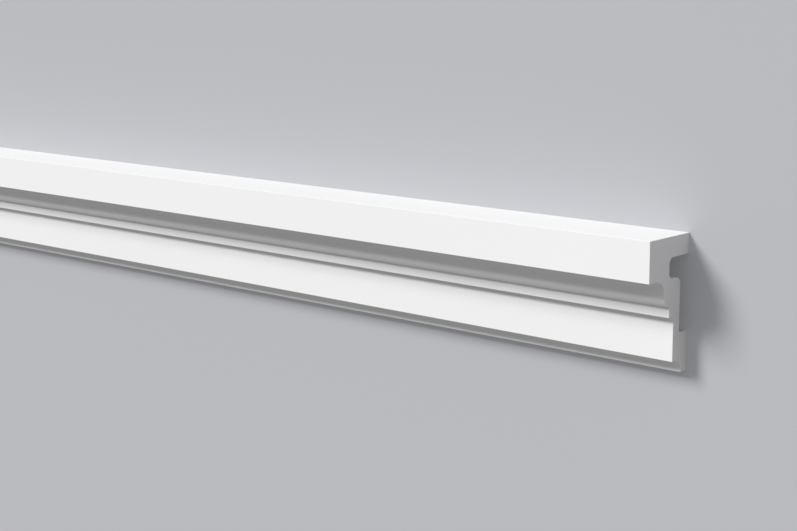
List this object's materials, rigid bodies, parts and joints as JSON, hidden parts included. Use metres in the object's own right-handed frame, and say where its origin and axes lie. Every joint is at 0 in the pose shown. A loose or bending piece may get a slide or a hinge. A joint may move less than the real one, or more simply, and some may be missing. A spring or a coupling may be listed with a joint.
{
  "type": "wall moulding",
  "caption": "Straight length of white wall moulding: projecting square top bar, hollow, ovolo, narrow fillet and flat band, with a stepped back that leaves a cable channel against the wall.",
  "frame": {"origin": "middle of the length and of the height, on the back plane that meets the wall; the part lies on its back on the floor", "axes": "+X along the length, +Y towards the top edge as fixed on a wall, +Z out from the wall"},
  "size_m": [2, 0.08, 0.04],
  "materials": {
    "primed_moulding": "white factory primer, matte with a faint sheen"
  },
  "bodies": {
    "root": {"wall_moulding": "primed_moulding"}
  },
  "joints": []
}
